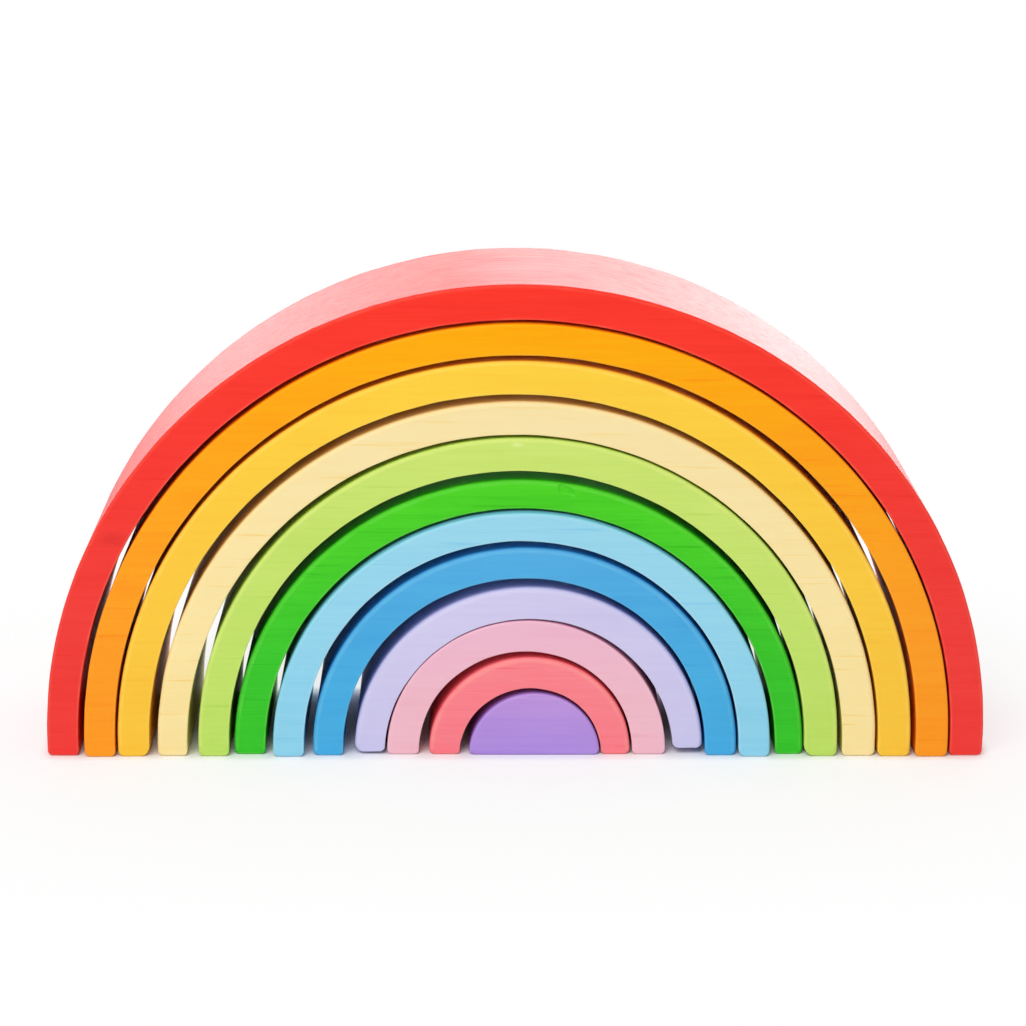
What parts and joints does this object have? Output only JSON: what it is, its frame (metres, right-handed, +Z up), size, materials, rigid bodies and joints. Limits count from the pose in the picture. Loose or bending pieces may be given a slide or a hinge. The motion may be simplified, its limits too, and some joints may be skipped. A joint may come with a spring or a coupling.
{
  "type": "rainbow stacker",
  "caption": "Nesting rainbow toy: half-round wooden arches in graded colours stand one inside the next over a solid half-round core, and each lifts off the piece inside it.",
  "frame": {"origin": "middle of the base, on the table, at the middle of the outermost arch's width and depth", "axes": "+X along the width to the viewer's right, +Y from the front to the back, +Z up"},
  "size_m": [0.3686, 0.0726, 0.1893],
  "materials": {
    "purple_stain": "satin",
    "coral_stain": "satin",
    "pink_stain": "satin",
    "lavender_stain": "satin",
    "blue_stain": "satin",
    "sky_stain": "satin",
    "green_stain": "satin",
    "lime_stain": "satin",
    "cream_stain": "satin",
    "amber_stain": "satin",
    "orange_stain": "satin",
    "red_stain": "satin"
  },
  "bodies": {
    "purple_core": {"purple_core": "purple_stain"},
    "coral_arch": {"coral_arch": "coral_stain"},
    "pink_arch": {"pink_arch": "pink_stain"},
    "lavender_arch": {"lavender_arch": "lavender_stain"},
    "blue_arch": {"blue_arch": "blue_stain"},
    "sky_arch": {"sky_arch": "sky_stain"},
    "green_arch": {"green_arch": "green_stain"},
    "lime_arch": {"lime_arch": "lime_stain"},
    "cream_arch": {"cream_arch": "cream_stain"},
    "amber_arch": {"amber_arch": "amber_stain"},
    "orange_arch": {"orange_arch": "orange_stain"},
    "red_arch": {"red_arch": "red_stain"}
  },
  "joints": [
    {"name": "coral_lift", "type": "slide", "parent": "purple_core", "child": "coral_arch", "axis": [0, 0, 1], "range_m": [0, 0.031]},
    {"name": "pink_lift", "type": "slide", "parent": "coral_arch", "child": "pink_arch", "axis": [0, 0, 1], "range_m": [0, 0.046]},
    {"name": "lavender_lift", "type": "slide", "parent": "pink_arch", "child": "lavender_arch", "axis": [0, 0, 1], "range_m": [0, 0.06]},
    {"name": "blue_lift", "type": "slide", "parent": "lavender_arch", "child": "blue_arch", "axis": [0, 0, 1], "range_m": [0, 0.075]},
    {"name": "sky_lift", "type": "slide", "parent": "blue_arch", "child": "sky_arch", "axis": [0, 0, 1], "range_m": [0, 0.091]},
    {"name": "green_lift", "type": "slide", "parent": "sky_arch", "child": "green_arch", "axis": [0, 0, 1], "range_m": [0, 0.106]},
    {"name": "lime_lift", "type": "slide", "parent": "green_arch", "child": "lime_arch", "axis": [0, 0, 1], "range_m": [0, 0.118]},
    {"name": "cream_lift", "type": "slide", "parent": "lime_arch", "child": "cream_arch", "axis": [0, 0, 1], "range_m": [0, 0.135]},
    {"name": "amber_lift", "type": "slide", "parent": "cream_arch", "child": "amber_arch", "axis": [0, 0, 1], "range_m": [0, 0.149]},
    {"name": "orange_lift", "type": "slide", "parent": "amber_arch", "child": "orange_arch", "axis": [0, 0, 1], "range_m": [0, 0.165]},
    {"name": "red_lift", "type": "slide", "parent": "orange_arch", "child": "red_arch", "axis": [0, 0, 1], "range_m": [0, 0.18]}
  ]
}
